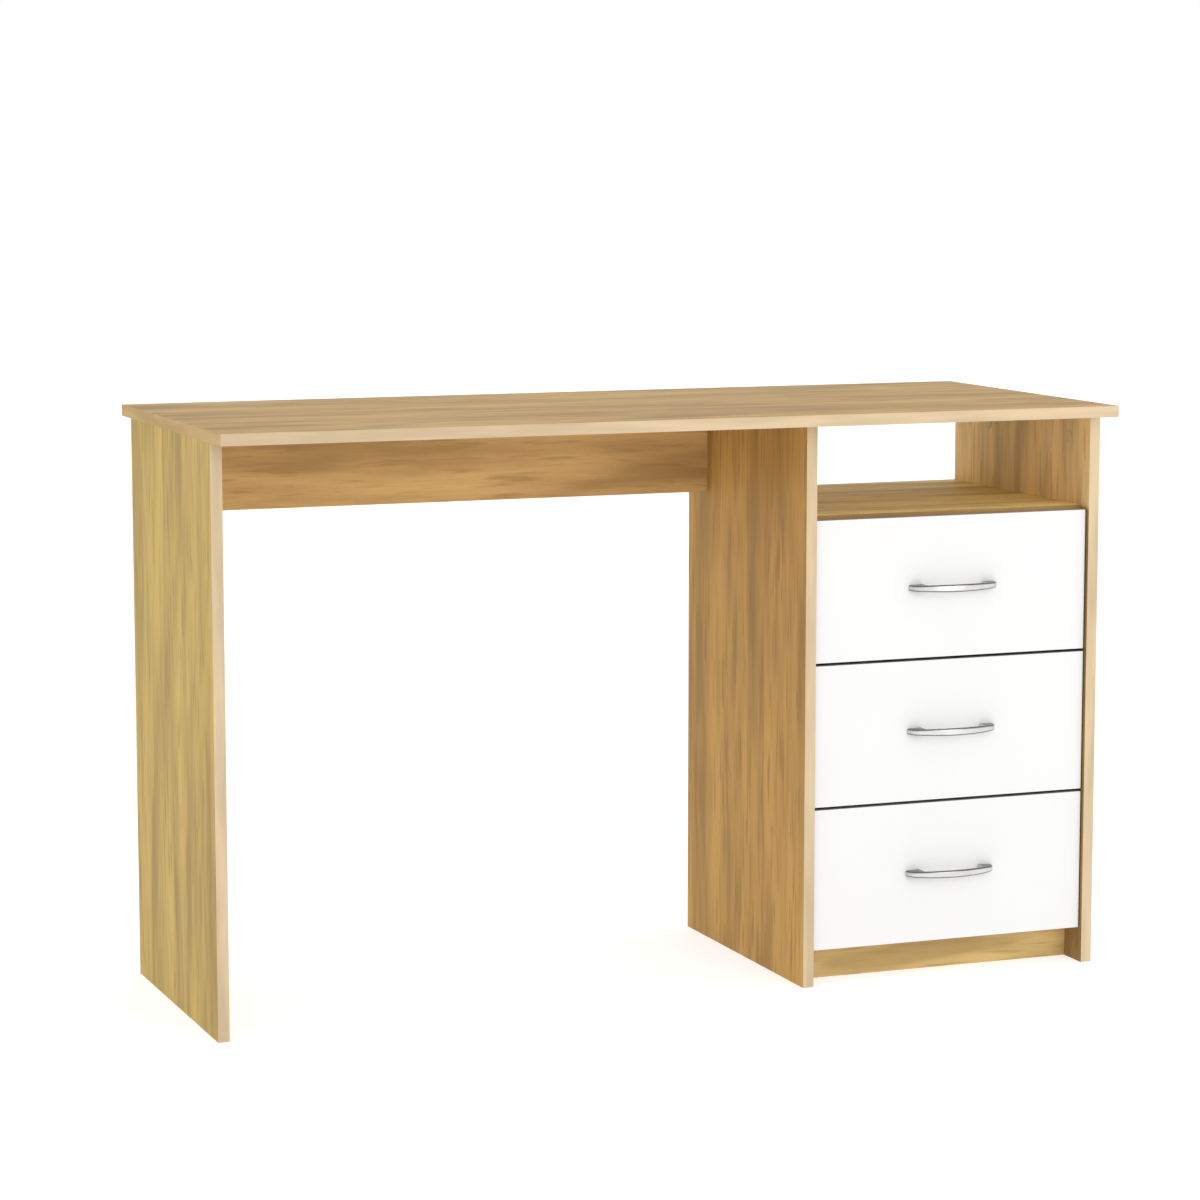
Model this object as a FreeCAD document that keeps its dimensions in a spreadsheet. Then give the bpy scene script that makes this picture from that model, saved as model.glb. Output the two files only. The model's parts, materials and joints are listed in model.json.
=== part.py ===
import FreeCAD, Part
import Sketcher
import math
import os
import re

# Writing desk: a desktop on a side panel and a pedestal. The pedestal has an open niche
# under the desktop and three drawers below it, which run on roller runners.
# Frame: +X to the right, +Y to the rear, +Z up. The origin is on the floor, under the
# middle of the desktop.

doc = FreeCAD.newDocument("WritingDesk")
Vector = FreeCAD.Vector

DIMENSIONS = {
    # desk
    "desk_width": 1230, "desk_depth": 500, "desk_height": 765, "board": 15,
    "overhang": 50, "pedestal_width": 431,
    "niche_floor": 626.5, "modesty_bottom": 630, "modesty_inset": 50,
    "base_underside": 50, "plinth_recess": 48,
    "back_thickness": 3, "back_margin": 3,
    # drawer fronts
    "front_setback": 6, "front_height": 188.5, "front_gap": 4, "side_gap": 2,
    "lowest_front": 48, "front_clearance": 1,
    # drawer boxes
    "box_board": 12, "box_side_height": 125, "box_length": 350, "box_lift": 28,
    "runner_space": 12.5, "bottom_thickness": 3, "bottom_lift": 10,
    "groove_depth": 6, "groove_play": 0.2, "bottom_play": 0.5,
    # runners and rollers
    "steel": 1.2, "rail_flange": 10.6, "rail_front": 3, "roller_radius": 10,
    "roller_width": 7, "roller_lift": 4.5, "roller_gap": 0.3, "roller_inset": 12,
    "pin_radius": 2.5, "pin_head_radius": 4, "pin_play": 0.05, "flange_play": 0.5,
    "stop_height": 3, "drawer_travel": 265,
    # bow handle
    "handle_length": 128, "handle_reach": 28, "handle_thickness": 5,
    "handle_height": 10, "handle_end_radius": 18, "handle_tip_radius": 3.8,
    "handle_foot": 20, "handle_holes": 96, "handle_rounding": 2.2,
    # fastenings
    "bolt_reach": 34, "cam_radius": 7.5, "small_bolt_reach": 24, "small_cam_radius": 6,
    "bolt_thread": 9, "dowel_radius": 4, "dowel_shallow": 9.5, "dowel_deep": 20.5,
    "screw_radius": 1.5, "screw_length": 10.5, "screw_head_radius": 3,
    "screw_head_height": 1.2, "nail_radius": 0.75, "nail_length": 19,
    "nail_head_radius": 1.75, "nail_head_height": 0.8,
    "cap_radius": 8.5, "cap_thickness": 0.8, "drill_play": 0.1,
}

sheet = doc.addObject("Spreadsheet::Sheet", "Dimensions")
for row, (alias, value) in enumerate(DIMENSIONS.items(), start=1):
    sheet.set(f"A{row}", alias)
    sheet.set(f"B{row}", str(value))
    sheet.setAlias(f"B{row}", alias)
doc.recompute()

# Places used by several pieces, as expressions of the sheet's cells
LEFT = "(-desk_width / 2)"
RIGHT = "(desk_width / 2)"
UNDER_TOP = "(desk_height - board)"
LEGS_FRONT = "(-desk_depth / 2 + overhang)"
LEGS_REAR = "(desk_depth / 2 - overhang)"
LEGS_DEPTH = "(desk_depth - 2 * overhang)"
PEDESTAL_LEFT = "(desk_width / 2 - pedestal_width)"
BAY_LEFT = f"({PEDESTAL_LEFT} + board)"
BAY_RIGHT = f"({RIGHT} - board)"
BAY_WIDTH = "(pedestal_width - 2 * board)"
BAY_MIDDLE = f"({RIGHT} - pedestal_width / 2)"
FRONT_FACE = f"({LEGS_FRONT} + front_setback)"
FRONT_REAR = f"({FRONT_FACE} + board)"
SHELF_FRONT = f"({FRONT_REAR} + front_clearance)"
SHELF_UNDERSIDE = "(niche_floor - board)"
BOX_LEFT = f"({BAY_LEFT} + runner_space)"
BOX_WIDTH = f"({BAY_WIDTH} - 2 * runner_space)"
BOX_REAR = f"({FRONT_REAR} + box_length)"
RAIL_FRONT = f"({FRONT_REAR} + rail_front)"
RAIL_REAR = f"({RAIL_FRONT} + box_length)"
FRONT_ROLLER = f"({RAIL_FRONT} + roller_inset)"
REAR_ROLLER = f"({BOX_REAR} - roller_inset)"


def in_sheet(text):
    """The expression with every alias pointed at the sheet."""
    def to_cell(match):
        word = match.group(0)
        return f"Dimensions.{word}" if word in DIMENSIONS else word
    return re.sub(r"[a-z_]+", to_cell, str(text))


def bind(obj, **properties):
    """Binds an object's properties to expressions of the sheet's cells."""
    for name, text in properties.items():
        obj.setExpression(name, in_sheet(text))


def place(obj, x=0, y=0, z=0):
    """Binds an object's position to expressions of the sheet's cells."""
    for axis, text in zip("xyz", (x, y, z)):
        obj.setExpression(f"Placement.Base.{axis}", in_sheet(text))
    return obj


def number(text):
    """The value of an expression of the sheet's cells."""
    return sheet.evalExpression(in_sheet(text))


def turned(x_axis, z_axis):
    """The rotation that takes local X and Z to the two given directions."""
    x_axis = Vector(*x_axis)
    z_axis = Vector(*z_axis)
    return FreeCAD.Rotation(x_axis, z_axis.cross(x_axis), z_axis, "ZXY")


# Plain solids

def box(name, corner, size):
    """A box from its lowest corner and its extents."""
    solid = doc.addObject("Part::Box", name)
    bind(solid, Length=size[0], Width=size[1], Height=size[2])
    return place(solid, *corner)


def rod(name, base, axis, radius, height):
    """A cylinder along an axis, from its base."""
    solid = doc.addObject("Part::Cylinder", name)
    solid.Placement.Rotation = FreeCAD.Rotation(Vector(0, 0, 1), Vector(*axis))
    bind(solid, Radius=radius, Height=height)
    return place(solid, *base)


def gathered(name, shapes):
    """Separate solids kept together in one object."""
    group = doc.addObject("Part::Compound", name)
    group.Links = shapes
    return group


def fused(name, shapes):
    """One solid made of several that touch."""
    whole = doc.addObject("Part::MultiFuse", name)
    whole.Shapes = shapes
    whole.Refine = True
    return whole


def cut(name, blank, tools):
    """The blank with every tool taken out of it."""
    result = doc.addObject("Part::Cut", name)
    result.Base = blank
    result.Tool = tools[0] if len(tools) == 1 else gathered(f"{name}_tools", tools)
    return result


def mirrored(name, source):
    """A left-hand piece turned into the right-hand one, across the middle of the pedestal."""
    mirror = doc.addObject("Part::Mirroring", name)
    mirror.Source = source
    mirror.Normal = Vector(1, 0, 0)
    mirror.setExpression("Base.x", in_sheet(BAY_MIDDLE))
    return mirror


# Bodies made from sketches

def origin_plane(body, role):
    return next(item for item in body.Origin.OriginFeatures if item.Role == role)


def new_sketch(body, name, plane, offset=0):
    """A sketch on one of the body's planes, moved along the plane's normal."""
    sketch = body.newObject("Sketcher::SketchObject", name)
    sketch.AttachmentSupport = [(origin_plane(body, f"{plane}_Plane"), "")]
    sketch.MapMode = "FlatFace"
    sketch.setExpression("AttachmentOffset.Base.z", in_sheet(offset))
    return sketch


def new_body(name):
    return doc.addObject("PartDesign::Body", name)


def fix_point(sketch, line, point, x, y):
    """Binds a sketch point to two expressions, measured from the sketch's origin."""
    for kind, text in (("DistanceX", x), ("DistanceY", y)):
        index = sketch.addConstraint(Sketcher.Constraint(kind, -1, 1, line, point, number(text)))
        sketch.setExpression(f"Constraints[{index}]", in_sheet(text))


def outline(sketch, points):
    """A closed outline of straight lines through points given as pairs of expressions."""
    corners = [Vector(number(x), number(y), 0) for x, y in points]
    following = corners[1:] + corners[:1]
    lines = [sketch.addGeometry(Part.LineSegment(a, b)) for a, b in zip(corners, following)]
    for line, after in zip(lines, lines[1:] + lines[:1]):
        sketch.addConstraint(Sketcher.Constraint("Coincident", line, 2, after, 1))
    for line, (x, y) in zip(lines, points):
        fix_point(sketch, line, 1, x, y)


def circle(sketch, x, y, radius):
    """A circle whose centre and radius are expressions."""
    centre = Vector(number(x), number(y), 0)
    index = sketch.addGeometry(Part.Circle(centre, Vector(0, 0, 1), number(radius)))
    fix_point(sketch, index, 3, x, y)
    size = sketch.addConstraint(Sketcher.Constraint("Radius", index, number(radius)))
    sketch.setExpression(f"Constraints[{size}]", in_sheet(radius))


def pad(body, sketch, length, backwards=False, both_ways=False):
    feature = body.newObject("PartDesign::Pad", f"{sketch.Name}_pad")
    feature.Profile = sketch
    feature.Reversed = backwards
    feature.Midplane = both_ways
    bind(feature, Length=length)
    return feature


def pocket(body, sketch, length, backwards=False):
    """Cuts the sketch into the body, and makes sure that it took something away."""
    doc.recompute()
    before = body.Shape.Volume
    feature = body.newObject("PartDesign::Pocket", f"{sketch.Name}_pocket")
    feature.Profile = sketch
    feature.Reversed = backwards
    bind(feature, Length=length)
    doc.recompute()
    if body.Shape.Volume > before - 0.1:
        raise RuntimeError(f"{sketch.Name} cuts nothing")
    return feature


def revolved(name, profile):
    """A turned piece about local Z. The profile is pairs of radius and height."""
    body = new_body(name)
    sketch = new_sketch(body, f"{name}_profile", "XZ")
    outline(sketch, profile)
    turn = body.newObject("PartDesign::Revolution", f"{name}_turned")
    turn.Profile = sketch
    turn.ReferenceAxis = (sketch, ["V_Axis"])
    turn.Angle = 360
    return body


def sheet_board(name, plane, corner, size):
    """A board sawn from sheet: its face is sketched on a plane, then padded to its thickness."""
    body = new_body(name)
    width, depth, height = size
    face = {"XY": (width, depth), "XZ": (width, height), "YZ": (depth, height)}[plane]
    thickness = {"XY": height, "XZ": depth, "YZ": width}[plane]
    sketch = new_sketch(body, f"{name}_face", plane)
    outline(sketch, [("0", "0"), (face[0], "0"), face, ("0", face[1])])
    pad(body, sketch, thickness, backwards=(plane == "XZ"))
    return place(body, *corner)


# Fastenings. Each has a master at the origin, with the drilling that it needs.

def cam_lock(name, reach, radius, thickness):
    """A turning cam: a drum whose side is open for the bolt's head, with a cross on top.

    Local X runs along the bolt from the face of the board that the bolt is screwed into,
    and local Z points out of the face that the drum is let into.
    """
    body = new_body(name)
    drum = new_sketch(body, f"{name}_drum", "XY", f"-{thickness} / 2 + 2.5")
    circle(drum, reach, "0", f"{radius} - drill_play")
    pad(body, drum, f"{thickness} - 2.7")
    mouth = new_sketch(body, f"{name}_mouth", "XY", "3.8")
    outline(mouth, [(f"{reach} - {radius} - 1", "-2.3"), (reach, "-2.3"),
                    (reach, "2.3"), (f"{reach} - {radius} - 1", "2.3")])
    pocket(body, mouth, f"{thickness} / 2 + 1.3")
    chamber = new_sketch(body, f"{name}_chamber", "XY", "3.8")
    outline(chamber, [(f"{reach} - 3.4", "-3.8"), (f"{reach} + 1.5", "-3.8"),
                      (f"{reach} + 1.5", "3.8"), (f"{reach} - 3.4", "3.8")])
    pocket(body, chamber, f"{thickness} / 2 + 1.3")
    for part, (half_x, half_y) in (("bar", (3, 0.6)), ("crossbar", (0.6, 3))):
        slot = new_sketch(body, f"{name}_{part}", "XY", f"{thickness} / 2")
        outline(slot, [(f"{reach} - {half_x}", f"-{half_y}"), (f"{reach} + {half_x}", f"-{half_y}"),
                       (f"{reach} + {half_x}", f"{half_y}"), (f"{reach} - {half_x}", f"{half_y}")])
        pocket(body, slot, "1.2")
    return body


def cam_bolt(name, reach):
    """The bolt that a cam pulls on: thread, collar, shank, neck and head, along local X."""
    body = revolved(f"{name}_upright", [
        ("0", "-bolt_thread"), ("2.5", "-bolt_thread"), ("2.5", "0"), ("3.4", "0"),
        ("3.4", "2"), ("2.8", "2"), ("2.8", f"{reach} - 9"), ("2", f"{reach} - 9"),
        ("2", f"{reach} - 2.8"), ("3.4", f"{reach} - 2.8"), ("3.4", f"{reach} - 0.6"),
        ("0", f"{reach} - 0.6")])
    body.Placement.Rotation = turned((0, 0, -1), (1, 0, 0))
    return gathered(name, [body])


def cam_drilling(name, reach, radius, thickness):
    """The three bores of a cam joint: for the drum, for the shank and for the thread."""
    drum = rod(f"{name}_drum", (reach, "0", f"-{thickness} / 2 + 2.4"), (0, 0, 1),
               radius, f"{thickness} + 1")
    shank = rod(f"{name}_shank", ("0", "0", "0"), (1, 0, 0), "4", reach)
    thread = rod(f"{name}_thread", ("-bolt_thread - 0.3", "0", "0"), (1, 0, 0),
                 "2.5 + drill_play", "bolt_thread + 0.3")
    return fused(name, [drum, shank, thread])


def dowel(name):
    """A grooveless wooden dowel with bevelled ends, along local X."""
    body = revolved(f"{name}_upright", [
        ("0", "-dowel_shallow"), ("dowel_radius - 1", "-dowel_shallow"),
        ("dowel_radius", "-dowel_shallow + 1"), ("dowel_radius", "dowel_deep - 1"),
        ("dowel_radius - 1", "dowel_deep"), ("0", "dowel_deep")])
    body.Placement.Rotation = turned((0, 0, -1), (1, 0, 0))
    return gathered(name, [body])


def screw(name, radius, length, head_radius, head_height, recess):
    """A pan-head screw driven along local Z, its head seated at Z 0, with a cross recess."""
    body = revolved(name, [
        ("0", f"-{head_height}"), (f"{head_radius} - 0.5", f"-{head_height}"),
        (head_radius, f"-{head_height} + 0.5"), (head_radius, "0"), (radius, "0"),
        (radius, f"{length} - 1"), (f"{radius} - 0.6", length), ("0", length)])
    for part, (half_x, half_y) in (("bar", (recess, 0.4)), ("crossbar", (0.4, recess))):
        slot = new_sketch(body, f"{name}_{part}", "XY", f"-{head_height}")
        outline(slot, [(f"-{half_x}", f"-{half_y}"), (half_x, f"-{half_y}"),
                       (half_x, half_y), (f"-{half_x}", half_y)])
        pocket(body, slot, "0.7", backwards=True)
    return body


CAM = cam_lock("cam_lock_master", "bolt_reach", "cam_radius", "board")
BOLT = cam_bolt("cam_bolt_master", "bolt_reach")
CAM_DRILL = cam_drilling("cam_drill_master", "bolt_reach", "cam_radius", "board")
SMALL_CAM = cam_lock("small_cam_master", "small_bolt_reach", "small_cam_radius", "box_board")
SMALL_BOLT = cam_bolt("small_bolt_master", "small_bolt_reach")
SMALL_CAM_DRILL = cam_drilling("small_cam_drill_master", "small_bolt_reach",
                               "small_cam_radius", "box_board")
DOWEL = dowel("dowel_master")
DOWEL_DRILL = gathered("dowel_drill_master", [
    rod("dowel_bore", ("-dowel_shallow - 0.5", "0", "0"), (1, 0, 0),
        "dowel_radius + drill_play", "dowel_shallow + dowel_deep + 1")])
CAP = gathered("cap_master", [
    rod("cap_disc", ("bolt_reach", "0", "board / 2"), (0, 0, 1), "cap_radius", "cap_thickness")])
RUNNER_SCREW = screw("runner_screw_master", "screw_radius", "screw_length",
                     "screw_head_radius", "screw_head_height", 1.6)
RUNNER_SCREW_DRILL = rod("runner_screw_drill_master", ("0", "0", "0"), (0, 0, 1),
                         "screw_radius + drill_play", "screw_length + 0.4")
HANDLE_SCREW = screw("handle_screw_master", "2", "board + 8", "4", "2.4", 2)
HANDLE_SCREW_DRILL = rod("handle_screw_drill_master", ("0", "0", "0"), (0, 0, 1),
                         "2 + drill_play", "board + 8.5")
NAIL = revolved("nail_master", [
    ("0", "-nail_head_height"), ("nail_head_radius", "-nail_head_height"),
    ("nail_head_radius", "0"), ("nail_radius", "0"), ("nail_radius", "nail_length - 2"),
    ("0", "nail_length")])
NAIL_DRILL = rod("nail_drill_master", ("0", "0", "0"), (0, 0, 1),
                 "nail_radius + drill_play", "nail_length + 0.3")


class Spots:
    """Places of one kind of joint: each is a position, a rotation and the boards it joins."""

    def __init__(self, name):
        self.name = name
        self.entries = []

    def add(self, position, rotation, *boards):
        self.entries.append((position, rotation, boards))

    def copies(self, master, label, board=None):
        """Links to the master at every place, or only where the named board is joined."""
        links = []
        for index, (position, rotation, boards) in enumerate(self.entries):
            if board is None or board in boards:
                link = doc.addObject("App::Link", f"{label}_{index}")
                link.LinkedObject = master
                link.LinkTransform = False
                link.Placement = FreeCAD.Placement(Vector(), rotation)
                links.append(place(link, *position))
        return links


def finished(name, blank, *drillings, extra=()):
    """A board with the drillings that fall on it, and any other tools, cut out of it."""
    tools = list(extra)
    for spots, drill in drillings:
        tools += spots.copies(drill, f"{name}_{spots.name}", board=name)
    return cut(name, blank, tools) if tools else blank


NODES = []


def node(obj, label=None):
    """Names a finished sub-part. The label is also its file's name."""
    obj.Label = label or obj.Name
    NODES.append(obj)
    return obj


# Directions of the joints: along the bolt or dowel, then out of the face with the cam
DOWN_FACING_RIGHT = turned((0, 0, -1), (1, 0, 0))
DOWN_FACING_LEFT = turned((0, 0, -1), (-1, 0, 0))
RIGHTWARD_FACING_REAR = turned((1, 0, 0), (0, 1, 0))
LEFTWARD_FACING_REAR = turned((-1, 0, 0), (0, 1, 0))
RIGHTWARD_FACING_DOWN = turned((1, 0, 0), (0, 0, -1))
LEFTWARD_FACING_DOWN = turned((-1, 0, 0), (0, 0, -1))
REARWARD_FACING_LEFT = turned((0, 1, 0), (-1, 0, 0))
REARWARD_FACING_RIGHT = turned((0, 1, 0), (1, 0, 0))
# Directions of screws and nails
INTO_LEFT = turned((0, 1, 0), (-1, 0, 0))
INTO_RIGHT = turned((0, 1, 0), (1, 0, 0))
INTO_FRONT = turned((1, 0, 0), (0, -1, 0))
UPWARD = turned((1, 0, 0), (0, 0, 1))

DRAWERS = ("bottom", "middle", "top")


def front_bottom(level):
    """Height of the lower edge of a drawer front, counted from the lowest drawer."""
    return f"(lowest_front + {level} * (front_height + front_gap))"


def box_bottom(level):
    """Height of the lower edge of a drawer's sides."""
    return f"({front_bottom(level)} + box_lift)"


def carcass_joints():
    """Where cams, dowels, nails and runner screws hold the fixed boards together."""
    cams, dowels, nails, screws = Spots("cams"), Spots("dowels"), Spots("nails"), Spots("screws")
    middle = "board / 2"
    uprights = (("left_side_panel", LEFT, DOWN_FACING_RIGHT),
                ("pedestal_left_panel", PEDESTAL_LEFT, DOWN_FACING_RIGHT),
                ("pedestal_right_panel", BAY_RIGHT, DOWN_FACING_LEFT))
    for panel, x, turn in uprights:
        for y in ("-140", "95"):
            cams.add((f"{x} + {middle}", y, UNDER_TOP), turn, panel, "desktop")
        for y in ("-75", "35"):
            dowels.add((f"{x} + {middle}", y, UNDER_TOP), turn, panel, "desktop")
    for shelf, z in (("niche_shelf", SHELF_UNDERSIDE), ("pedestal_base", "base_underside")):
        ends = ((BAY_LEFT, RIGHTWARD_FACING_DOWN, "pedestal_left_panel"),
                (BAY_RIGHT, LEFTWARD_FACING_DOWN, "pedestal_right_panel"))
        for x, turn, panel in ends:
            for y in ("-125", "145"):
                cams.add((x, y, f"{z} + {middle}"), turn, shelf, panel)
            dowels.add((x, "10", f"{z} + {middle}"), turn, shelf, panel)
    modesty_y = f"{LEGS_REAR} - modesty_inset - {middle}"
    for x, turn, panel in ((f"{LEFT} + board", RIGHTWARD_FACING_REAR, "left_side_panel"),
                           (PEDESTAL_LEFT, LEFTWARD_FACING_REAR, "pedestal_left_panel")):
        for z in ("30", "90"):
            cams.add((x, modesty_y, f"modesty_bottom + {z}"), turn, "modesty_panel", panel)
        dowels.add((x, modesty_y, "modesty_bottom + 60"), turn, "modesty_panel", panel)
    plinth_y = f"{LEGS_FRONT} + plinth_recess + {middle}"
    for x, turn, panel in ((BAY_LEFT, RIGHTWARD_FACING_REAR, "pedestal_left_panel"),
                           (BAY_RIGHT, LEFTWARD_FACING_REAR, "pedestal_right_panel")):
        for z in ("14", "36"):
            dowels.add((x, plinth_y, z), turn, "plinth", panel)
    rear = f"{LEGS_REAR} + back_thickness"
    for x, panel in ((f"{PEDESTAL_LEFT} + {middle}", "pedestal_left_panel"),
                     (f"{BAY_RIGHT} + {middle}", "pedestal_right_panel")):
        for z in ("110", "250", "390", "530"):
            nails.add((x, rear, z), INTO_FRONT, panel, "pedestal_back_panel")
    for z, board in ((f"{SHELF_UNDERSIDE} + {middle}", "niche_shelf"),
                     (f"base_underside + {middle}", "pedestal_base")):
        for x in ("-120", "0", "120"):
            nails.add((f"{BAY_MIDDLE} + {x}", rear, z), INTO_FRONT, board, "pedestal_back_panel")
    for level in range(len(DRAWERS)):
        for y in ("-140", "0", "140"):
            z = f"{box_bottom(level)} + roller_lift"
            screws.add((f"{BAY_LEFT} + steel", y, z), INTO_LEFT,
                       "pedestal_left_panel", "carcass_runners_left")
            screws.add((f"{BAY_RIGHT} - steel", y, z), INTO_RIGHT,
                       "pedestal_right_panel", "carcass_runners_right")
    return cams, dowels, nails, screws


def carcass_rail(level):
    """The fixed left runner of one drawer: a channel with a roller pin and two stops."""
    z = box_bottom(level)
    name = f"rail_{DRAWERS[level]}"
    floor = f"({z} + roller_lift - roller_radius - roller_gap)"
    ceiling = f"({z} + roller_lift + roller_radius + roller_gap + steel + flange_play)"
    height = f"({ceiling} + steel - {floor} + steel)"
    length = "box_length"
    web = box(f"{name}_web", (BAY_LEFT, RAIL_FRONT, f"{floor} - steel"),
              ("steel", length, height))
    lower = box(f"{name}_lower_flange", (BAY_LEFT, RAIL_FRONT, f"{floor} - steel"),
                ("rail_flange", length, "steel"))
    upper = box(f"{name}_upper_flange", (BAY_LEFT, RAIL_FRONT, ceiling),
                ("rail_flange", length, "steel"))
    rear_stop = box(f"{name}_rear_stop", (BAY_LEFT, f"{RAIL_REAR} - steel", f"{floor} - steel"),
                    ("rail_flange", "steel", height))
    # The rear roller meets the low stop on its rounded side, short of the stop by this much
    contact = "sqrt(roller_radius ^ 2 - (roller_radius - stop_height) ^ 2)"
    stop_face = f"({REAR_ROLLER} - drawer_travel - {contact} - roller_gap)"
    front_stop = box(f"{name}_front_stop", (BAY_LEFT, f"{stop_face} - 3", f"{floor} - steel"),
                     ("rail_flange", "3", "stop_height + steel"))
    axis_z = f"{z} + roller_lift"
    pin = rod(f"{name}_pin", (BAY_LEFT, FRONT_ROLLER, axis_z), (1, 0, 0),
              "pin_radius", "10.2")
    pin_head = rod(f"{name}_pin_head", (f"{BAY_LEFT} + 9.4", FRONT_ROLLER, axis_z), (1, 0, 0),
                   "pin_head_radius", "0.8")
    return fused(name, [web, lower, upper, rear_stop, front_stop, pin, pin_head])


def roller(name, x, y, z):
    """A nylon roller with a hub, a rim and a bored middle, its axis along X."""
    body = revolved(f"{name}_turned_piece", [
        ("pin_radius + pin_play", "0"), ("pin_radius + 2.5", "0"),
        ("pin_radius + 2.5", "0.8"), ("roller_radius - 2", "0.8"), ("roller_radius - 2", "0"),
        ("roller_radius - 0.5", "0"), ("roller_radius", "0.5"),
        ("roller_radius", "roller_width - 0.5"), ("roller_radius - 0.5", "roller_width"),
        ("roller_radius - 2", "roller_width"), ("roller_radius - 2", "roller_width - 0.8"),
        ("pin_radius + 2.5", "roller_width - 0.8"), ("pin_radius + 2.5", "roller_width"),
        ("pin_radius + pin_play", "roller_width")])
    body.Placement.Rotation = turned((0, 0, -1), (1, 0, 0))
    return place(body, x, y, z)


def roller_pair(label, x, y, z):
    """The left roller and its mirror image on the right, which turn together."""
    left = roller(f"{label}_left", x, y, z)
    return node(gathered(label, [left, mirrored(f"{label}_right", left)]))


def build_carcass():
    """The desktop, its supports, the modesty panel, the shelf, the base and the rails."""
    cams, dowels, nails, screws = carcass_joints()
    drillings = ((cams, CAM_DRILL), (dowels, DOWEL_DRILL), (nails, NAIL_DRILL),
                 (screws, RUNNER_SCREW_DRILL))
    knee_width = f"({PEDESTAL_LEFT} - {LEFT} - board)"
    boards = {
        "desktop": ("XY", (LEFT, "-desk_depth / 2", UNDER_TOP),
                    ("desk_width", "desk_depth", "board")),
        "left_side_panel": ("YZ", (LEFT, LEGS_FRONT, "0"), ("board", LEGS_DEPTH, UNDER_TOP)),
        "pedestal_left_panel": ("YZ", (PEDESTAL_LEFT, LEGS_FRONT, "0"),
                                ("board", LEGS_DEPTH, UNDER_TOP)),
        "pedestal_right_panel": ("YZ", (BAY_RIGHT, LEGS_FRONT, "0"),
                                 ("board", LEGS_DEPTH, UNDER_TOP)),
        "modesty_panel": ("XZ", (f"{LEFT} + board", f"{LEGS_REAR} - modesty_inset - board",
                                 "modesty_bottom"),
                          (knee_width, "board", f"{UNDER_TOP} - modesty_bottom")),
        "niche_shelf": ("XY", (BAY_LEFT, SHELF_FRONT, SHELF_UNDERSIDE),
                        (BAY_WIDTH, f"({LEGS_REAR} - {SHELF_FRONT})", "board")),
        "pedestal_base": ("XY", (BAY_LEFT, SHELF_FRONT, "base_underside"),
                          (BAY_WIDTH, f"({LEGS_REAR} - {SHELF_FRONT})", "board")),
        "plinth": ("XZ", (BAY_LEFT, f"{LEGS_FRONT} + plinth_recess", "0"),
                   (BAY_WIDTH, "board", "base_underside")),
        "pedestal_back_panel": ("XZ", (f"{PEDESTAL_LEFT} + back_margin", LEGS_REAR,
                                       "base_underside + back_margin"),
                                ("pedestal_width - 2 * back_margin", "back_thickness",
                                 "niche_floor - base_underside - 2 * back_margin")),
    }
    for name, (plane, corner, size) in boards.items():
        blank = sheet_board(f"{name}_blank", plane, corner, size)
        node(finished(name, blank, *drillings))

    rails = gathered("carcass_rails_blank", [carcass_rail(level) for level in range(3)])
    left_rails = finished("carcass_runners_left", rails, (screws, RUNNER_SCREW_DRILL))
    node(left_rails)
    node(mirrored("carcass_runners_right", left_rails))
    for level, drawer in enumerate(DRAWERS):
        roller_pair(f"carcass_rollers_{drawer}", f"{BAY_LEFT} + 1.9", FRONT_ROLLER,
                    f"{box_bottom(level)} + roller_lift")

    node(gathered("cam_locks", cams.copies(CAM, "cam_lock")))
    node(gathered("cam_bolts", cams.copies(BOLT, "cam_bolt")))
    node(gathered("wooden_dowels", dowels.copies(DOWEL, "dowel")))
    node(gathered("cam_cover_caps", [
        cap for cap, (_, _, boards_joined) in zip(cams.copies(CAP, "cap"), cams.entries)
        if "desktop" in boards_joined]))
    node(gathered("back_panel_nails", nails.copies(NAIL, "nail")))
    node(gathered("carcass_runner_screws", screws.copies(RUNNER_SCREW, "rail_screw")))


def bow(half, rise, small):
    """A flat arc over the middle that meets a small arc at the end with the same tangent.

    The curve falls from (0, rise) to (half, 0). The result is the flat arc's centre and
    radius, and the point where the two arcs meet.
    """
    large = ((half - small) ** 2 + rise ** 2 - small ** 2) / (2 * (rise - small))
    lean = math.asin((half - small) / (large - small))
    meeting = Vector(half - small + small * math.sin(lean), small * math.cos(lean), 0)
    return Vector(0, rise - large, 0), large, meeting


def flipped(point, x=1, y=1):
    return Vector(point.x * x, point.y * y, 0)


def handle_plan(half):
    """The handle's curves seen from above: the bow, its inner side and the two feet."""
    small = number("handle_end_radius")
    foot = half - number("handle_foot")
    centre, large, meeting = bow(half, number("handle_reach"), small)
    inner = large - number("handle_thickness")
    corner = Vector(foot, centre.y + math.sqrt(inner ** 2 - foot ** 2), 0)
    bend = Vector(half - small, 0, 0)
    along_bend = bend + (meeting - bend + Vector(small, 0, 0)).normalize() * small
    curves = [Part.Arc(flipped(meeting, x=-1), centre + Vector(0, large, 0), meeting),
              Part.Arc(flipped(corner, x=-1), centre + Vector(0, inner, 0), corner)]
    for side in (-1, 1):
        end, step = Vector(side * half, 0, 0), Vector(side * foot, 0, 0)
        curves += [Part.Arc(flipped(meeting, x=side), flipped(along_bend, x=side), end),
                   Part.LineSegment(end, step),
                   Part.LineSegment(step, flipped(corner, x=side))]
    return curves


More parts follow.
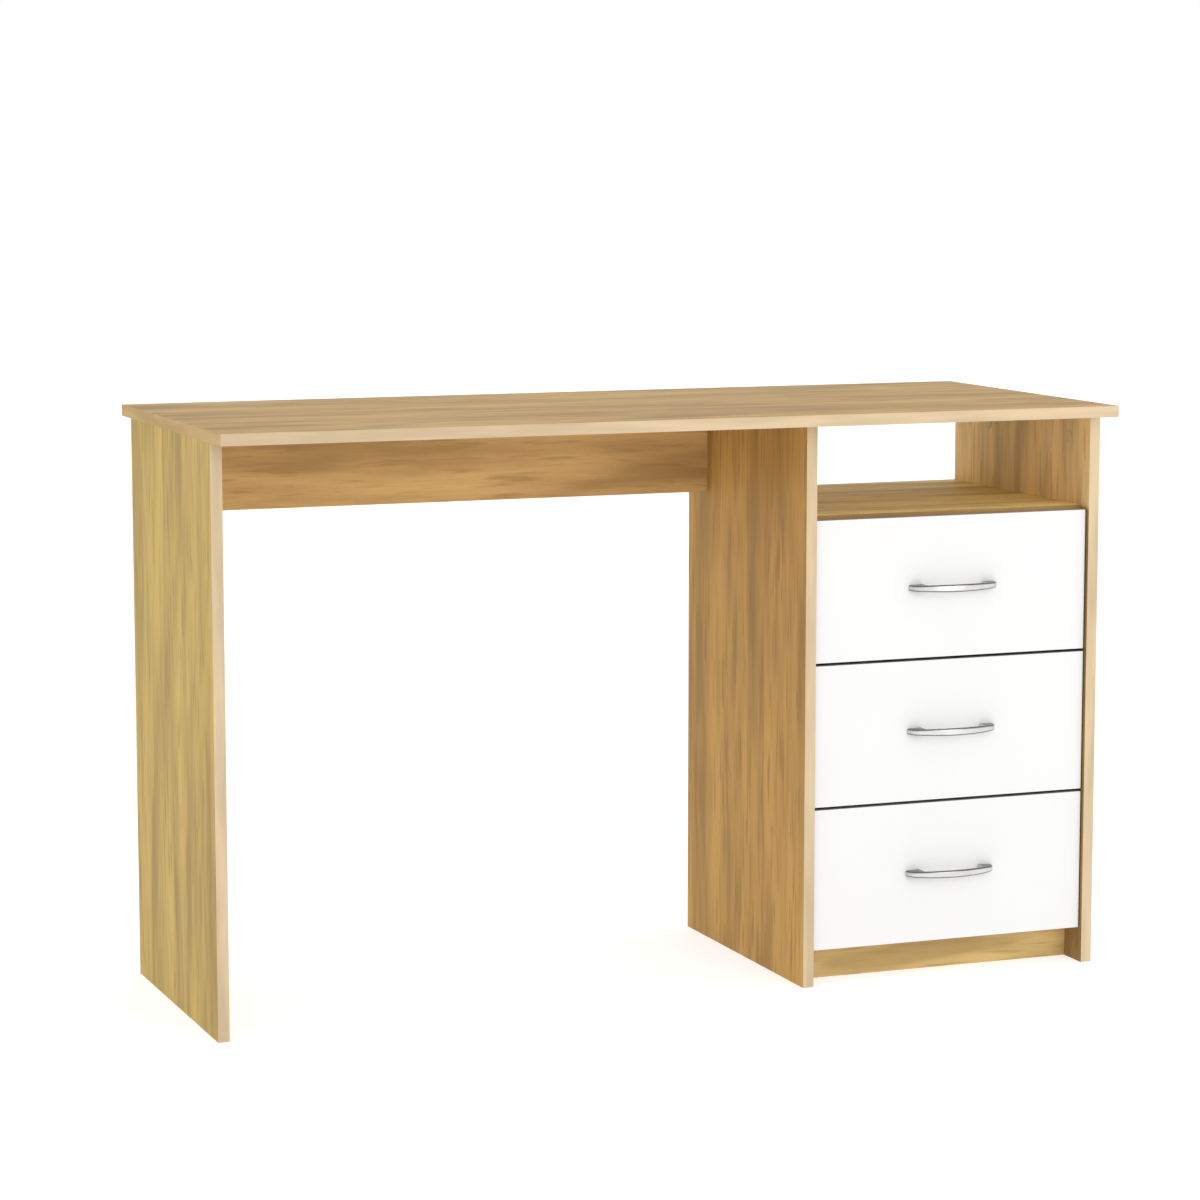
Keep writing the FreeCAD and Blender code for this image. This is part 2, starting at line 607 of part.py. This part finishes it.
def handle_face(half):
    """The handle's outline seen from the front: it narrows to a round tip past each end."""
    tip = number("handle_tip_radius")
    reach = half + tip / 2
    centre, large, meeting = bow(reach, number("handle_height") / 2, tip)
    curves = []
    for side in (-1, 1):
        curves.append(Part.Arc(flipped(meeting, x=side), Vector(side * reach, 0, 0),
                               flipped(meeting, x=side, y=-1)))
        curves.append(Part.Arc(flipped(meeting, x=-1, y=side),
                               Vector(0, side * (centre.y + large), 0),
                               flipped(meeting, y=side)))
    return curves


def draw_fixed(sketch, curves):
    """Draws curves that are worked out from the sheet's cells, and fixes them in place."""
    for curve in curves:
        index = sketch.addGeometry(curve)
        sketch.addConstraint(Sketcher.Constraint("Block", index))


def curved_edges_off_the_wall(shape):
    """The names of the curved edges, without those in the plane that the feet stand on."""
    names = []
    for index, edge in enumerate(shape.Edges, start=1):
        if not isinstance(edge.Curve, Part.Line) and edge.CenterOfMass.y > 0.5:
            names.append(f"Edge{index}")
    return names


def bow_handle(name, x, z):
    """A bow handle: a curved strip that runs down into a solid foot at each end.

    It is drawn standing out along +Y, then turned over to stand out from the front's face.
    """
    half = number("handle_length") / 2
    body = new_body(name)
    plan = new_sketch(body, f"{name}_plan", "XY")
    draw_fixed(plan, handle_plan(half))
    pad(body, plan, "handle_height", both_ways=True)
    around = new_sketch(body, f"{name}_around", "XZ")
    draw_fixed(around, handle_face(half))
    outline(around, [("-handle_length", "-handle_height"), ("handle_length", "-handle_height"),
                     ("handle_length", "handle_height"), ("-handle_length", "handle_height")])
    narrowed = pocket(body, around, "handle_reach + 1")
    rounding = body.newObject("PartDesign::Fillet", f"{name}_rounding")
    rounding.Base = (narrowed, curved_edges_off_the_wall(narrowed.Shape))
    bind(rounding, Radius="handle_rounding")
    body.Placement.Rotation = FreeCAD.Rotation(Vector(1, 0, 0), 180)
    return place(body, x, FRONT_FACE, z)


def drawer_rail(name, level):
    """The drawer's left runner: a seat under the side, a web beside it, a flange and a pin."""
    z = box_bottom(level)
    seat = box(f"{name}_seat", (f"{BOX_LEFT} - steel", FRONT_REAR, f"{z} - steel"),
               ("box_board + steel", "box_length", "steel"))
    under_flange = "(roller_lift + roller_radius + roller_gap)"
    web = box(f"{name}_web", (f"{BOX_LEFT} - steel", FRONT_REAR, f"{z} - steel"),
              ("steel", "box_length", f"{under_flange} + 2 * steel"))
    flange = box(f"{name}_flange", (f"{BAY_LEFT} + 3.5", FRONT_REAR, f"{z} + {under_flange}"),
                 ("runner_space - 3.5", "box_length", "steel"))
    axis_z = f"{z} + roller_lift"
    pin = rod(f"{name}_pin", (f"{BOX_LEFT} - steel", REAR_ROLLER, axis_z), (-1, 0, 0),
              "pin_radius", "8.4")
    pin_head = rod(f"{name}_pin_head", (f"{BAY_LEFT} + 2.9", REAR_ROLLER, axis_z), (1, 0, 0),
                   "pin_head_radius", "0.4")
    return fused(name, [seat, web, flange, pin, pin_head])


def build_drawer(level):
    """One drawer: its front and handle, its box, and the moving halves of its runners."""
    drawer = f"drawer_{DRAWERS[level]}"
    front_z, z = front_bottom(level), box_bottom(level)
    inside_left = f"({BOX_LEFT} + box_board)"
    inside_width = f"({BOX_WIDTH} - 2 * box_board)"
    panel_top = f"({z} + bottom_lift + bottom_thickness + groove_play)"

    joints, screws, handle_screws = Spots("cams"), Spots("screws"), Spots("handle_screws")
    side_middle = "box_board / 2"
    for side, x, outward, inward in (
            ("left", f"{BOX_LEFT} + {side_middle}", REARWARD_FACING_LEFT, RIGHTWARD_FACING_REAR),
            ("right", f"{BOX_LEFT} + {BOX_WIDTH} - {side_middle}",
             REARWARD_FACING_RIGHT, LEFTWARD_FACING_REAR)):
        inner_face = inside_left if side == "left" else f"({inside_left} + {inside_width})"
        for height in ("45", "100"):
            joints.add((x, FRONT_REAR, f"{z} + {height}"), outward,
                       f"{drawer}_side_{side}", f"{drawer}_front")
            joints.add((inner_face, f"{BOX_REAR} - {side_middle}", f"{z} + {height}"), inward,
                       f"{drawer}_back", f"{drawer}_side_{side}")
        for y in ("25", "box_length / 2", "box_length - 25"):
            screws.add((x, f"{FRONT_REAR} + {y}", f"{z} - steel"), UPWARD,
                       f"{drawer}_side_{side}", f"{drawer}_runner_{side}")
    handle_z = f"({front_z} + front_height / 2)"
    for side in ("-", "+"):
        handle_screws.add((f"{BAY_MIDDLE} {side} handle_holes / 2", FRONT_REAR, handle_z),
                          INTO_FRONT, f"{drawer}_front", f"{drawer}_handle")
    cam_drilling_here = (joints, SMALL_CAM_DRILL)
    screw_drilling = (screws, RUNNER_SCREW_DRILL)
    handle_drilling = (handle_screws, HANDLE_SCREW_DRILL)

    # One slab, a little larger than the drawer's bottom, cuts the groove that holds it
    groove = box(f"{drawer}_groove", (f"{inside_left} - groove_depth",
                                      f"{FRONT_REAR} - groove_depth", f"{z} + bottom_lift"),
                 (f"{inside_width} + 2 * groove_depth", "box_length + groove_depth + 1",
                  "bottom_thickness + groove_play"))

    front = sheet_board(f"{drawer}_front_blank", "XZ",
                        (f"{BAY_LEFT} + side_gap", FRONT_FACE, front_z),
                        (f"({BAY_WIDTH} - 2 * side_gap)", "board", "front_height"))
    node(finished(f"{drawer}_front", front, cam_drilling_here, handle_drilling, extra=[groove]))
    for side, x in (("left", BOX_LEFT), ("right", f"{inside_left} + {inside_width}")):
        blank = sheet_board(f"{drawer}_side_{side}_blank", "YZ", (x, FRONT_REAR, z),
                            ("box_board", "box_length", "box_side_height"))
        node(finished(f"{drawer}_side_{side}", blank, cam_drilling_here, screw_drilling,
                      extra=[groove]))
    back = sheet_board(f"{drawer}_back_blank", "XZ",
                       (inside_left, f"{BOX_REAR} - box_board", panel_top),
                       (inside_width, "box_board", f"({z} + box_side_height - {panel_top})"))
    node(finished(f"{drawer}_back", back, cam_drilling_here))
    slack = "(groove_depth - bottom_play)"
    node(sheet_board(f"{drawer}_bottom", "XY",
                     (f"{inside_left} - {slack}", f"{FRONT_REAR} - {slack}",
                      f"{z} + bottom_lift"),
                     (f"({inside_width} + 2 * {slack})", f"(box_length + {slack})",
                      "bottom_thickness")))

    handle = bow_handle(f"{drawer}_handle_blank", BAY_MIDDLE, handle_z)
    node(finished(f"{drawer}_handle", handle, handle_drilling))
    node(gathered(f"{drawer}_handle_screws",
                  handle_screws.copies(HANDLE_SCREW, f"{drawer}_handle_screw")))

    rail = drawer_rail(f"{drawer}_rail_blank", level)
    left_rail = finished(f"{drawer}_runner_left", rail, screw_drilling)
    node(left_rail)
    node(mirrored(f"{drawer}_runner_right", left_rail))
    roller_pair(f"{drawer}_rear_rollers", f"{BAY_LEFT} + 3.55", REAR_ROLLER,
                f"{z} + roller_lift")
    node(gathered(f"{drawer}_runner_screws", screws.copies(RUNNER_SCREW, f"{drawer}_screw")))
    node(gathered(f"{drawer}_cam_locks", joints.copies(SMALL_CAM, f"{drawer}_cam_lock")))
    node(gathered(f"{drawer}_cam_bolts", joints.copies(SMALL_BOLT, f"{drawer}_cam_bolt")))


def write_parts():
    """Checks every object, then writes each sub-part to its own file."""
    doc.recompute()
    for obj in doc.Objects:
        if "Invalid" in obj.State or "Error" in obj.State:
            raise RuntimeError(f"{obj.Name} has failed: {obj.State}")
    for obj in NODES:
        if obj.Shape.isNull() or not obj.Shape.isValid() or not obj.Shape.Solids:
            raise RuntimeError(f"{obj.Label} has no valid shape")
    os.makedirs("parts", exist_ok=True)
    for obj in NODES:
        obj.Shape.exportStep(f"parts/{obj.Label}.step")
    print(f"{len(NODES)} sub-parts written")


build_carcass()
for drawer_level in range(len(DRAWERS)):
    build_drawer(drawer_level)
write_parts()
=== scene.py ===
import bpy
import json
import math
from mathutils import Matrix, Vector

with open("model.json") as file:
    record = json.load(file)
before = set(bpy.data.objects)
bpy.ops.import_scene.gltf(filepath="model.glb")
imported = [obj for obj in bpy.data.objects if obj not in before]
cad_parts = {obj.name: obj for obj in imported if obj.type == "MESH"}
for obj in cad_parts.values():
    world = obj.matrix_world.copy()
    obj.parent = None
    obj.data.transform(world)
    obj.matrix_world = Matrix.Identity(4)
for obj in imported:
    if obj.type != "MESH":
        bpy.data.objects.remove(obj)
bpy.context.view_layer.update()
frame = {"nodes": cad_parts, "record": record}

NODES = frame["nodes"]
SLOT_OF = {entry["node"]: entry["material_slot"] for entry in frame["record"]["subparts"]}

# Lengths, in metres
NICHE_FLOOR = 0.6265
TINT_BLEND = 0.006
DESKTOP_ROUNDING = 0.0022
BOARD_ROUNDING = 0.0008
MERGE_DISTANCE = 0.00001

# Edges that turn by more than this are rounded
SHARP_TURN = math.radians(60)

# Tints of the oak print. It is yellower on the outside of the desk and redder under the desktop.
# Inside the niche it is lighter, which is painted light, and beside the drawers darker, which is
# painted shade, for an evenly lit look. SHADED_EDGE is painted shade on the long edges of the
# niche shelf and the pedestal base.
TOP_OAK = (0.535, 0.353, 0.144)
OUTSIDE_OAK = (0.530, 0.367, 0.110)
INSIDE_OAK = (0.490, 0.288, 0.087)
MODESTY_OAK = (0.575, 0.370, 0.152)
NICHE_PAINTED_LIGHT_OAK = (0.870, 0.630, 0.295)
DRAWER_BAY_PAINTED_SHADE_OAK = (0.310, 0.190, 0.068)
SHELF_PAINTED_LIGHT_OAK = (0.890, 0.710, 0.300)
PLINTH_OAK = (0.610, 0.430, 0.175)
EDGE_BAND = (0.590, 0.455, 0.290)
SHADED_EDGE = (0.360, 0.220, 0.090)

# The other colours
WHITE = (1, 1, 1)
FRONT_WHITE = (0.76, 0.76, 0.755)
# Painted shade for the upper and lower edges of the drawer fronts, in the gaps between them
FRONT_EDGE_PAINTED_SHADE = (0.42, 0.42, 0.41)
BOX_FOIL = (0.70, 0.695, 0.67)
HARDBOARD_DARK = (0.66, 0.65, 0.62)
HARDBOARD_LIGHT = (0.74, 0.73, 0.70)
NICKEL_DARK = (0.56, 0.555, 0.545)
NICKEL_LIGHT = (0.68, 0.675, 0.66)
# Painted dark reflection for the upper and lower edges of the handles
NICKEL_PAINTED_REFLECTION = (0.17, 0.17, 0.166)
EPOXY_DARK = (0.66, 0.66, 0.64)
EPOXY_LIGHT = (0.72, 0.72, 0.70)
NYLON = (0.72, 0.72, 0.68)
CAST_ZINC = (0.50, 0.50, 0.49)
ZINC_PLATE = (0.62, 0.62, 0.60)
CAP_BROWN = (0.68, 0.48, 0.20)
BEECH_DARK = (0.42, 0.27, 0.14)
BEECH_LIGHT = (0.58, 0.41, 0.24)
FLOOR_DARK = (0.60, 0.60, 0.60)
FLOOR_LIGHT = (0.62, 0.62, 0.62)

# How each oak board is cut: the axis that its grain runs along, the axis of its thickness, the
# seed of its figure, and the tints of its faces and of its banded edges. bay_way is the way along
# the thickness that the face inside the pedestal looks; that face takes painted light in the niche
# and painted shade beside the drawers.
OAK_BOARDS = {
    "desktop": {"grain": "X", "thin": "Z", "seed": 61, "tint": TOP_OAK, "band_tint": EDGE_BAND},
    "left_side_panel": {"grain": "Z", "thin": "X", "seed": 32, "tint": OUTSIDE_OAK,
                        "band_tint": EDGE_BAND},
    "pedestal_left_panel": {"grain": "Z", "thin": "X", "seed": 63, "tint": INSIDE_OAK,
                            "band_tint": EDGE_BAND, "bay_way": 1},
    "pedestal_right_panel": {"grain": "Z", "thin": "X", "seed": 24, "tint": OUTSIDE_OAK,
                             "band_tint": EDGE_BAND, "bay_way": -1},
    "modesty_panel": {"grain": "X", "thin": "Y", "seed": 45, "tint": MODESTY_OAK,
                      "band_tint": INSIDE_OAK},
    "niche_shelf": {"grain": "X", "thin": "Z", "seed": 46, "tint": SHELF_PAINTED_LIGHT_OAK,
                    "band_tint": SHADED_EDGE},
    "pedestal_base": {"grain": "X", "thin": "Z", "seed": 7, "tint": INSIDE_OAK,
                      "band_tint": SHADED_EDGE},
    "plinth": {"grain": "X", "thin": "Y", "seed": 8, "tint": PLINTH_OAK, "band_tint": INSIDE_OAK},
}
# How far one seed moves the figure along X, Y and Z
SEED_STEP = (3.17, 1.73, 2.41)

# Features per metre along the grain of the oak print, and across it
PATCHES = (2.6, 17)
STREAKS = (6, 60)
DASHES = (12, 150)
FIBRES = (14, 560)
PORES = (60, 1300)

# The range that most of a noise lies in
MOST = (0.3, 0.7)


# Shader helpers

class Nodes:
    """A node tree, with short calls for the nodes that the finishes below are made of."""

    def __init__(self, owner):
        owner.use_nodes = True
        self.owner = owner
        self.tree = owner.node_tree

    def node(self, kind, **settings):
        made = self.tree.nodes.new(kind)
        for name, value in settings.items():
            setattr(made, name, value)
        return made

    def link(self, source, target):
        self.tree.links.new(source, target)

    def feed(self, socket, value):
        """Sets a socket to a number or a colour, or links it to another node's output."""
        if isinstance(value, bpy.types.NodeSocket):
            self.link(value, socket)
        elif isinstance(value, tuple):
            socket.default_value = (*value, 1)
        else:
            socket.default_value = value

    def coordinate(self, kind):
        return self.node("ShaderNodeTexCoord").outputs[kind]

    def part(self, vector, axis):
        """The X, Y or Z of a vector."""
        split = self.node("ShaderNodeSeparateXYZ")
        self.link(vector, split.inputs[0])
        return split.outputs["XYZ".index(axis)]

    def noise(self, fineness, detail, distortion=0.0, shift=(0, 0, 0)):
        """Noise that stays with the object, with its features per metre along X, Y and Z."""
        mapping = self.node("ShaderNodeMapping")
        mapping.inputs["Scale"].default_value = fineness
        mapping.inputs["Location"].default_value = shift
        self.link(self.coordinate("Object"), mapping.inputs["Vector"])
        made = self.node("ShaderNodeTexNoise")
        self.link(mapping.outputs["Vector"], made.inputs["Vector"])
        made.inputs["Scale"].default_value = 1.0
        made.inputs["Detail"].default_value = detail
        made.inputs["Distortion"].default_value = distortion
        return made.outputs["Fac"]

    def maths(self, operation, first, second=0.0):
        made = self.node("ShaderNodeMath", operation=operation)
        self.feed(made.inputs[0], first)
        self.feed(made.inputs[1], second)
        return made.outputs[0]

    def average(self, first, second, share):
        """A mean of two values in which the first has the given share."""
        return self.maths("ADD", self.maths("MULTIPLY", first, share),
                          self.maths("MULTIPLY", second, 1 - share))

    def remap(self, value, old, new=(0.0, 1.0)):
        """Stretches the old range of a value to the new one, and holds it at the ends."""
        made = self.node("ShaderNodeMapRange", clamp=True)
        self.feed(made.inputs["Value"], value)
        made.inputs["From Min"].default_value, made.inputs["From Max"].default_value = old
        made.inputs["To Min"].default_value, made.inputs["To Max"].default_value = new
        return made.outputs["Result"]

    def ramp(self, factor, stops):
        """A colour ramp through (place, colour) stops."""
        made = self.node("ShaderNodeValToRGB")
        elements = made.color_ramp.elements
        while len(elements) < len(stops):
            elements.new(0.5)
        for element, (place, colour) in zip(elements, stops):
            element.position = place
            element.color = (*colour, 1)
        self.link(factor, made.inputs["Fac"])
        return made.outputs["Color"]

    def mottle(self, noise, dark, light, span=MOST):
        """Goes from the dark colour to the light one as the noise crosses the span."""
        return self.ramp(noise, [(span[0], dark), (span[1], light)])

    def mix(self, factor, first, second, mode="MIX"):
        made = self.node("ShaderNodeMix", data_type="RGBA", blend_type=mode)
        self.feed(made.inputs["Factor"], factor)
        self.feed(made.inputs["A"], first)
        self.feed(made.inputs["B"], second)
        return made.outputs["Result"]

    def bump(self, height, distance, strength):
        made = self.node("ShaderNodeBump")
        self.link(height, made.inputs["Height"])
        made.inputs["Distance"].default_value = distance
        made.inputs["Strength"].default_value = strength
        return made.outputs["Normal"]

    def facing(self, axis, span=(0.6, 0.8), way=0):
        """1 on faces that look along the object's axis, and 0 on the others.

        It rises from 0 to 1 over the span of that part of the normal. way is 1 or -1 for one
        direction along the axis, and 0 for both.
        """
        part = self.part(self.coordinate("Normal"), axis)
        if way == 0:
            return self.remap(self.maths("ABSOLUTE", part), span)
        return self.remap(self.maths("MULTIPLY", part, way), span)


class Shader(Nodes):
    """A new material around one Principled surface."""

    def __init__(self, name):
        super().__init__(bpy.data.materials.new(name))
        self.surface = self.tree.nodes["Principled BSDF"]

    def finish(self, colour, roughness, normal=None, **fixed):
        """Plugs the results into the surface and sets its other sockets."""
        self.feed(self.surface.inputs["Base Color"], colour)
        self.feed(self.surface.inputs["Roughness"], roughness)
        if normal is not None:
            self.link(normal, self.surface.inputs["Normal"])
        for name, value in fixed.items():
            self.surface.inputs[name.replace("_", " ")].default_value = value
        return self.owner


def even(fineness):
    """The same number of features per metre all ways."""
    return (fineness, fineness, fineness)


def dimmed(colour, factor):
    """A colour made darker without a change of hue."""
    return tuple(part * factor for part in colour)


def shaded(colour, factor):
    """A colour made lighter or darker. The darker it gets, the browner it gets."""
    red, green, blue = colour
    return (red * factor, green * factor ** 1.10, blue * factor ** 1.22)


# Oak

def grain_noise(s, axis, fineness, seed, detail, distortion=0.0):
    """Noise that is drawn out along one axis, at a place that depends on the seed."""
    lengthwise, crosswise = fineness
    scale = tuple(lengthwise if letter == axis else crosswise for letter in "XYZ")
    shift = tuple(step * seed for step in SEED_STEP)
    return s.noise(scale, detail, distortion, shift)


def oak_figure(s, patches, streaks, dashes, fibres, pores):
    """How light the print is from place to place, as a colour that multiplies the tint."""
    tone = s.average(patches, streaks, share=0.65)
    figure = s.ramp(tone, [(0.38, shaded(WHITE, 0.74)), (0.50, WHITE), (0.62, shaded(WHITE, 1.20))])
    # each kind of mark: where it starts and is full in its noise, how strong and how dark it is
    for marks, span, strength, darkness in ((dashes, (0.55, 0.69), 0.65, 0.66),
                                            (fibres, (0.50, 0.75), 0.16, 0.66),
                                            (pores, (0.62, 0.74), 0.30, 0.50)):
        figure = s.mix(s.remap(marks, span, (0.0, strength)), figure, shaded(WHITE, darkness))
    return figure


def bay_painted_light_and_shade(s):
    """The tint inside the pedestal: painted light in the niche and painted shade beside the
    drawers.
    """
    height = s.part(s.coordinate("Object"), "Z")
    in_niche = s.remap(height, (NICHE_FLOOR - TINT_BLEND, NICHE_FLOOR))
    return s.mix(in_niche, DRAWER_BAY_PAINTED_SHADE_OAK, NICHE_PAINTED_LIGHT_OAK)


def painted_shade_below(s, colour, band_tint):
    """Paints shade on the lower rounding of a level board's edge."""
    downward = s.facing("Z", (0.10, 0.50), way=-1)
    underside = s.facing("Z", (0.80, 0.95), way=-1)
    return s.mix(s.maths("SUBTRACT", downward, underside), colour, shaded(band_tint, 0.30))


def oak(name, grain, thin, seed, tint, band_tint, bay_way=0):
    """Printed oak melamine: soft patches, short dark dashes and fine pores along the grain.

    The edges along the grain have a band of its own tint. The parameters are those of OAK_BOARDS.
    """
    s = Shader(name)
    cross = next(letter for letter in "XYZ" if letter not in (grain, thin))
    patches = grain_noise(s, grain, PATCHES, seed, detail=2.0, distortion=0.4)
    streaks = grain_noise(s, grain, STREAKS, seed, detail=2.5)
    dashes = grain_noise(s, grain, DASHES, seed, detail=1.5, distortion=0.3)
    fibres = grain_noise(s, grain, FIBRES, seed, detail=3.0)
    pores = grain_noise(s, grain, PORES, seed, detail=1.0)
    end_streaks = grain_noise(s, cross, STREAKS, seed, detail=2.5)

    base = tint
    # The face inside the pedestal gets painted light in the niche and painted shade beside the
    # drawers
    if bay_way != 0:
        base = s.mix(s.facing(thin, way=bay_way), tint, bay_painted_light_and_shade(s))
    face = s.mix(1.0, base, oak_figure(s, patches, streaks, dashes, fibres, pores), "MULTIPLY")
    band = s.mottle(streaks, shaded(band_tint, 0.90), shaded(band_tint, 1.10), (0.34, 0.66))
    ends = s.mottle(end_streaks, shaded(tint, 0.90), shaded(tint, 1.10), (0.34, 0.66))
    colour = s.mix(s.facing(grain), band, ends)
    colour = s.mix(s.facing(thin, (0.25, 0.50)), colour, face)
    # Painted shade on the lower rounding of the edges of level boards
    if thin == "Z":
        colour = painted_shade_below(s, colour, band_tint)

    roughness = s.remap(s.maths("ADD", fibres, patches), (0.7, 1.3), (0.52, 0.66))
    relief = s.maths("SUBTRACT", s.remap(fibres, MOST), s.remap(pores, (0.60, 0.75)))
    normal = s.bump(relief, distance=0.00012, strength=0.35)
    return s.finish(colour, roughness, normal, Specular_IOR_Level=0.12)


# Other finishes

def white_melamine(name, tint, roughness, edge=None):
    """Satin white foil with a faint orange peel and slightly uneven gloss.

    edge is painted shade on the upper and lower edges of an upright board, where the drawer fronts
    face the gaps between them.
    """
    s = Shader(name)
    peel = s.noise(even(900), detail=2.0)
    cloud = s.noise(even(6), detail=3.0)
    colour = s.mottle(cloud, dimmed(tint, 0.985), tint)
    # Painted shade on the upper and lower edges
    if edge is not None:
        colour = s.mix(s.facing("Z"), colour, edge)
    gloss = s.remap(cloud, MOST, (roughness - 0.04, roughness + 0.04))
    return s.finish(colour, gloss, s.bump(peel, distance=0.00004, strength=0.3))


def hardboard(name):
    """Thin speckled fibreboard with a pale printed face."""
    s = Shader(name)
    speck = s.noise(even(700), detail=3.0)
    cloud = s.noise(even(9), detail=3.0)
    colour = s.mottle(s.average(speck, cloud, share=0.4), HARDBOARD_DARK, HARDBOARD_LIGHT,
                      (0.35, 0.65))
    gloss = s.remap(speck, MOST, (0.5, 0.65))
    return s.finish(colour, gloss, s.bump(speck, distance=0.00008, strength=0.4))


def satin_nickel(name):
    """Satin nickel, brushed along the handle, with painted dark reflections on its upper and lower
    edges.
    """
    s = Shader(name)
    lines = s.noise((30, 900, 900), detail=2.0)
    smudge = s.noise(even(35), detail=3.0)
    colour = s.mottle(smudge, NICKEL_DARK, NICKEL_LIGHT)
    # Painted dark reflections on the upper and lower edges
    colour = s.mix(s.facing("Z", (0.02, 0.45)), colour, NICKEL_PAINTED_REFLECTION)
    gloss = s.remap(s.average(lines, smudge, share=0.5), MOST, (0.22, 0.36))
    return s.finish(colour, gloss, s.bump(lines, distance=0.00002, strength=0.25), Metallic=1.0)


def metal(name, base, roughness):
    """Bare or plated metal with fine mottling."""
    s = Shader(name)
    spots = s.noise(even(400), detail=3.0)
    colour = s.mottle(spots, dimmed(base, 0.85), base)
    gloss = s.remap(spots, MOST, (roughness - 0.06, roughness + 0.08))
    return s.finish(colour, gloss, s.bump(spots, distance=0.00004, strength=0.3), Metallic=1.0)


def coated_steel(name):
    """Off-white epoxy on pressed steel, with a fine powder texture."""
    s = Shader(name)
    powder = s.noise(even(1300), detail=2.0)
    cloud = s.noise(even(14), detail=2.0)
    colour = s.mottle(cloud, EPOXY_DARK, EPOXY_LIGHT)
    gloss = s.remap(cloud, MOST, (0.36, 0.46))
    return s.finish(colour, gloss, s.bump(powder, distance=0.00005, strength=0.4))


def moulded_plastic(name, base, roughness):
    """Moulded plastic with a fine spark-eroded grain."""
    s = Shader(name)
    erosion = s.noise(even(1500), detail=2.0)
    cloud = s.noise(even(60), detail=2.0)
    colour = s.mottle(cloud, dimmed(base, 0.95), base)
    gloss = s.remap(cloud, MOST, (roughness - 0.05, roughness + 0.05))
    return s.finish(colour, gloss, s.bump(erosion, distance=0.00003, strength=0.4))


def beech(name):
    """Bare beech with short flecks."""
    s = Shader(name)
    fleck = s.noise(even(700), detail=2.0)
    colour = s.mottle(fleck, BEECH_DARK, BEECH_LIGHT)
    gloss = s.remap(fleck, MOST, (0.6, 0.75))
    return s.finish(colour, gloss, s.bump(fleck, distance=0.0001, strength=0.4))


# The desk

def dress_nodes():
    """Gives every CAD node its finish: each oak board its own, and one for each other slot."""
    shared = {
        "white_board": white_melamine("white_board", FRONT_WHITE, roughness=0.38, edge=FRONT_EDGE_PAINTED_SHADE),
        "box_board": white_melamine("box_board", BOX_FOIL, roughness=0.5),
        "hardboard": hardboard("hardboard"),
        "handle_metal": satin_nickel("handle_metal"),
        "runner_steel": coated_steel("runner_steel"),
        "roller_nylon": moulded_plastic("roller_nylon", NYLON, roughness=0.5),
        "zinc_cam": metal("zinc_cam", CAST_ZINC, roughness=0.42),
        "plated_steel": metal("plated_steel", ZINC_PLATE, roughness=0.3),
        "beech_dowel": beech("beech_dowel"),
        "cap_plastic": moulded_plastic("cap_plastic", CAP_BROWN, roughness=0.5),
    }
    for name, node in NODES.items():
        if name in OAK_BOARDS:
            finish = oak(f"oak_{name}", **OAK_BOARDS[name])
        else:
            finish = shared[SLOT_OF[name]]
        for slot in node.material_slots:
            slot.material = finish
        if not node.material_slots:
            node.data.materials.append(finish)


def soften_edges():
    """Rounds the edges of the boards: most on the desktop, which has the thickest band."""
    for name, node in NODES.items():
        if SLOT_OF[name] in ("oak_board", "white_board", "box_board"):
            weld = node.modifiers.new("weld", "WELD")
            weld.merge_threshold = MERGE_DISTANCE
            bevel = node.modifiers.new("bevel", "BEVEL")
            bevel.width = DESKTOP_ROUNDING if name == "desktop" else BOARD_ROUNDING
            bevel.segments = 3
            bevel.limit_method = "ANGLE"
            bevel.angle_limit = SHARP_TURN
            bevel.harden_normals = True


# Studio

def floor():
    """A wide pale floor that is lit from below, as a studio's light table is."""
    bpy.ops.mesh.primitive_circle_add(vertices=128, radius=60, fill_type="NGON",
                                      location=(0, 0, 0))
    ground = bpy.context.object
    ground.name = "floor"
    s = Shader("floor")
    colour = s.mottle(s.noise(even(3), detail=3.0), FLOOR_DARK, FLOOR_LIGHT)
    pale = s.finish(colour, 0.9, Emission_Color=(1, 1, 1, 1), Emission_Strength=0.63)
    pale.cycles.emission_sampling = "NONE"
    ground.data.materials.append(pale)


def surroundings():
    """White walls all round, dimmer on the left and overhead."""
    world = bpy.data.worlds.new("studio")
    bpy.context.scene.world = world
    w = Nodes(world)
    direction = w.coordinate("Generated")
    overhead = w.remap(w.part(direction, "Z"), (0.15, 0.9), (1.0, 0.85))
    leftward = w.remap(w.part(direction, "X"), (-0.8, 0.1), (0.85, 1.0))
    background = w.tree.nodes["Background"]
    w.link(w.maths("MULTIPLY", overhead, leftward), background.inputs["Strength"])
    background.inputs["Color"].default_value = (1, 1, 1, 1)


def key_light():
    """One large soft light, in front and to the right, aimed at the middle of the desk."""
    key = bpy.data.lights.new("key", "AREA")
    key.shape = "DISK"
    key.size = 3.0
    key.energy = 60
    lamp = bpy.data.objects.new("key", key)
    bpy.context.scene.collection.objects.link(lamp)
    lamp.location = (1.3, -4.6, 1.85)
    aim = Vector((0, 0, 0.4)) - lamp.location
    lamp.rotation_euler = aim.to_track_quat("-Z", "Y").to_euler()


def camera():
    """The camera of the reference view, from a perspective fit to the desk's straight edges."""
    below_level = math.radians(7.51)
    to_the_right = math.radians(21.13)
    data = bpy.data.cameras.new("camera")
    data.sensor_width = 36
    data.lens = 108.34
    data.clip_end = 200
    eye = bpy.data.objects.new("camera", data)
    bpy.context.scene.collection.objects.link(eye)
    eye.location = (-1.7543, -4.4684, 1.1361)
    eye.rotation_euler = (math.radians(90) - below_level, 0, -to_the_right)
    bpy.context.scene.camera = eye


def colour_management():
    view = bpy.context.scene.view_settings
    view.view_transform = "Standard"
    view.look = "None"


camera()
colour_management()
surroundings()
key_light()
floor()
dress_nodes()
soften_edges()
